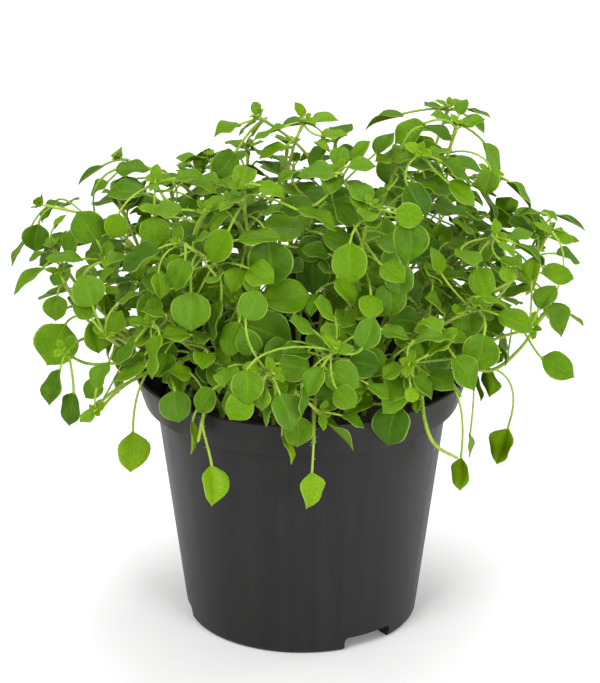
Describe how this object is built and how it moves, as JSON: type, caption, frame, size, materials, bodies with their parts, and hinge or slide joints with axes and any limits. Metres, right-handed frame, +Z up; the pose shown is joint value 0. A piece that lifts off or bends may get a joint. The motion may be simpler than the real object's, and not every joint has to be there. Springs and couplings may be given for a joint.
{
  "type": "potted chickweed",
  "caption": "Small potted chickweed: a dense mound of thin leafy stems with broad pointed leaves, in soil in a round plastic nursery pot.",
  "frame": {"origin": "middle of the pot's flat underside", "axes": "+Z up; -Y is the front side seen in the picture; +X is to the right in that view"},
  "size_m": [0.2027, 0.1741, 0.1886],
  "materials": {
    "pot_plastic": "satin",
    "potting_soil": "matte",
    "foliage": "satin"
  },
  "bodies": {
    "root": {"pot": "pot_plastic", "soil": "potting_soil", "stem_01": "foliage", "stem_02": "foliage", "stem_03": "foliage", "stem_04": "foliage", "stem_05": "foliage", "stem_06": "foliage", "stem_07": "foliage", "stem_08": "foliage", "stem_09": "foliage", "stem_10": "foliage", "stem_11": "foliage", "stem_12": "foliage", "stem_13": "foliage", "stem_14": "foliage", "stem_15": "foliage", "stem_16": "foliage", "stem_17": "foliage", "stem_18": "foliage", "stem_19": "foliage", "stem_20": "foliage", "stem_21": "foliage", "stem_22": "foliage", "stem_23": "foliage", "stem_24": "foliage", "stem_25": "foliage", "stem_26": "foliage", "stem_27": "foliage", "stem_28": "foliage", "stem_29": "foliage", "stem_30": "foliage", "stem_31": "foliage", "stem_32": "foliage", "stem_33": "foliage", "stem_34": "foliage", "stem_35": "foliage", "stem_36": "foliage", "stem_37": "foliage", "stem_38": "foliage", "stem_39": "foliage", "stem_40": "foliage", "stem_41": "foliage", "stem_42": "foliage", "stem_43": "foliage"}
  },
  "joints": []
}
